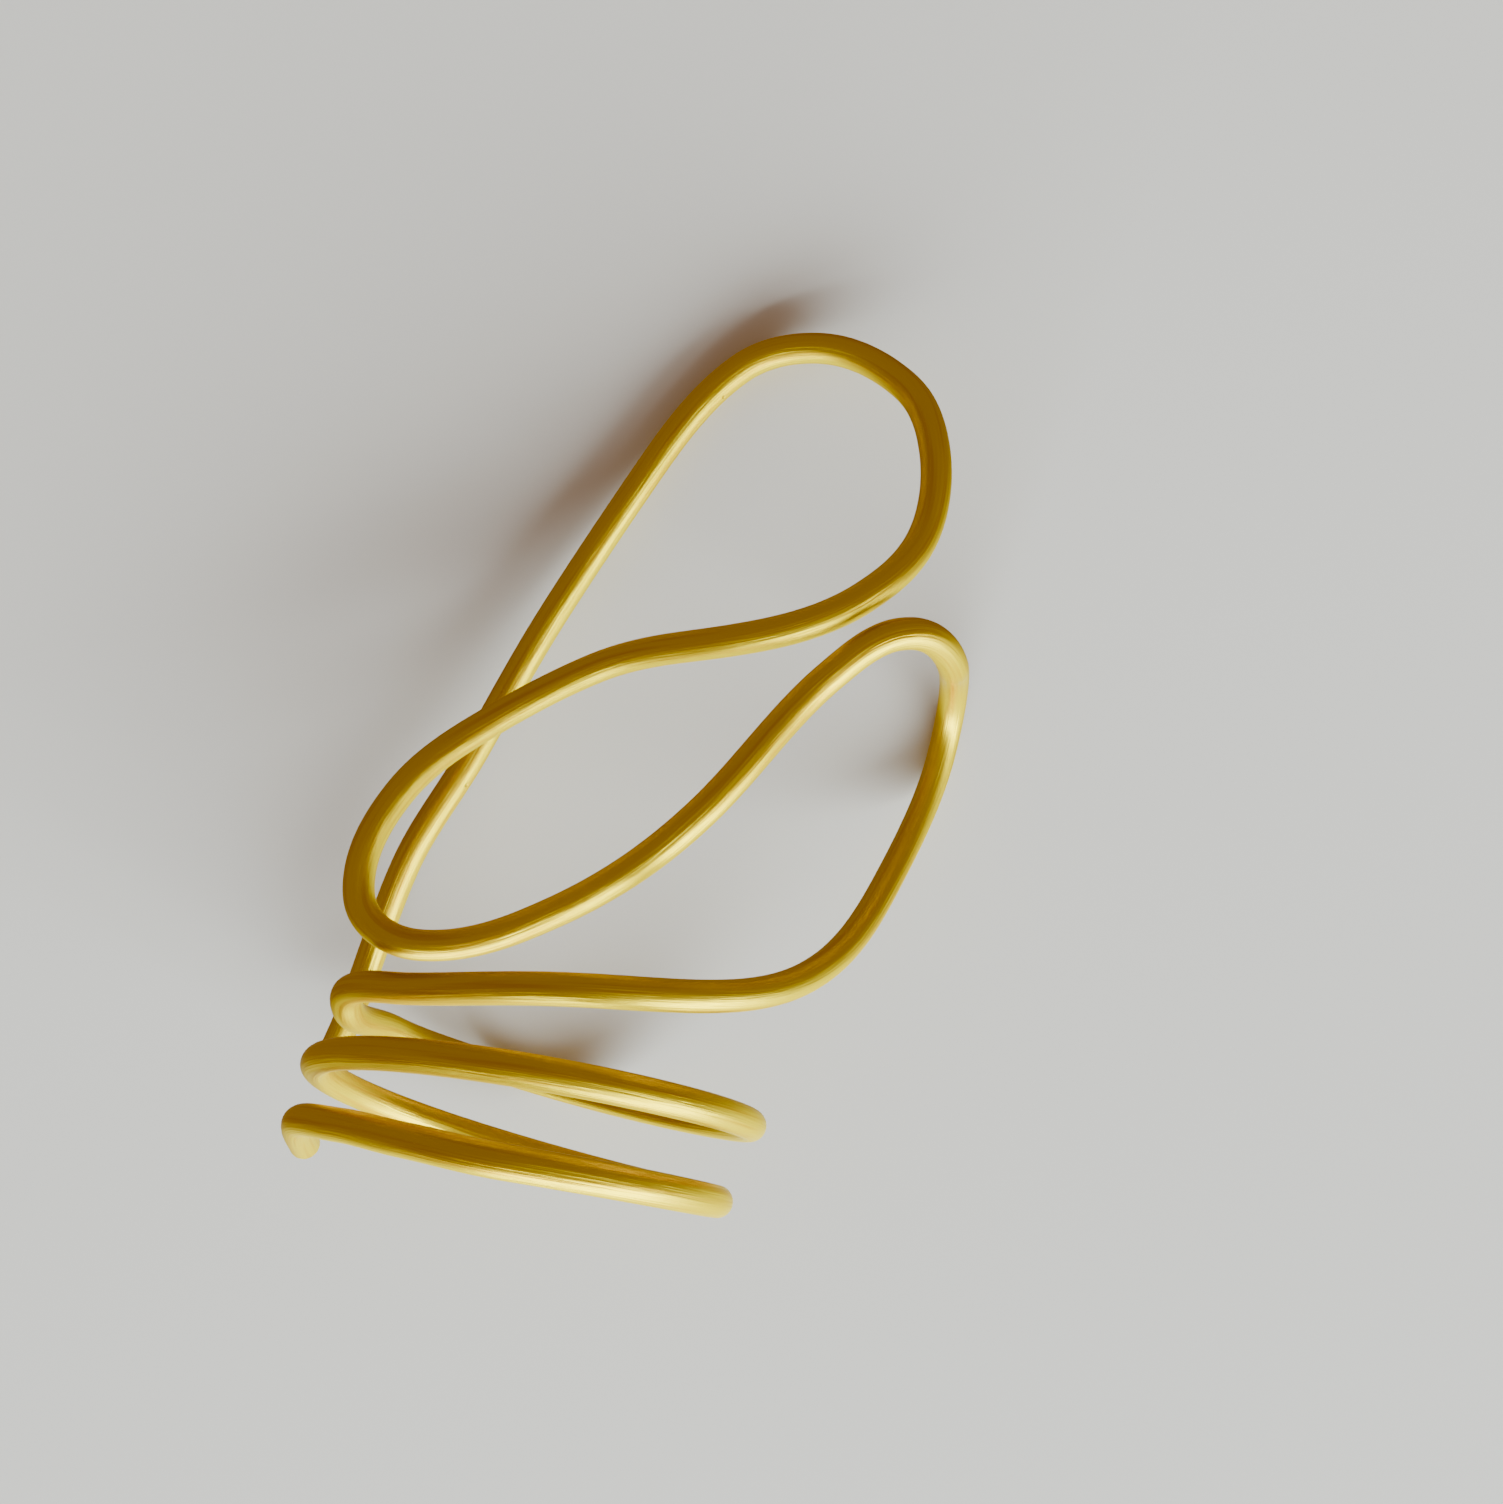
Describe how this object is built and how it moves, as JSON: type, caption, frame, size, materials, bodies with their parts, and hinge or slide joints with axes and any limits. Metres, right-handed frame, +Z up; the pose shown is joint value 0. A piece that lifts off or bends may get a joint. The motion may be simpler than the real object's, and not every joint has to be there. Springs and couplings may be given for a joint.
{
  "type": "wire finger ring",
  "caption": "Finger ring bent from one length of round brass wire: an open coil for the finger, with long loose loops that reach over the hand.",
  "frame": {"origin": "centre of the footprint, on the surface that the ring lies on", "axes": "+Z up from that surface, +Y from the finger coil towards the loops, +X to the right as seen from above with the coil nearest"},
  "size_m": [0.03, 0.039, 0.019],
  "materials": {
    "brass_wire": "satin"
  },
  "bodies": {
    "root": {"wire_ring": "brass_wire"}
  },
  "joints": []
}
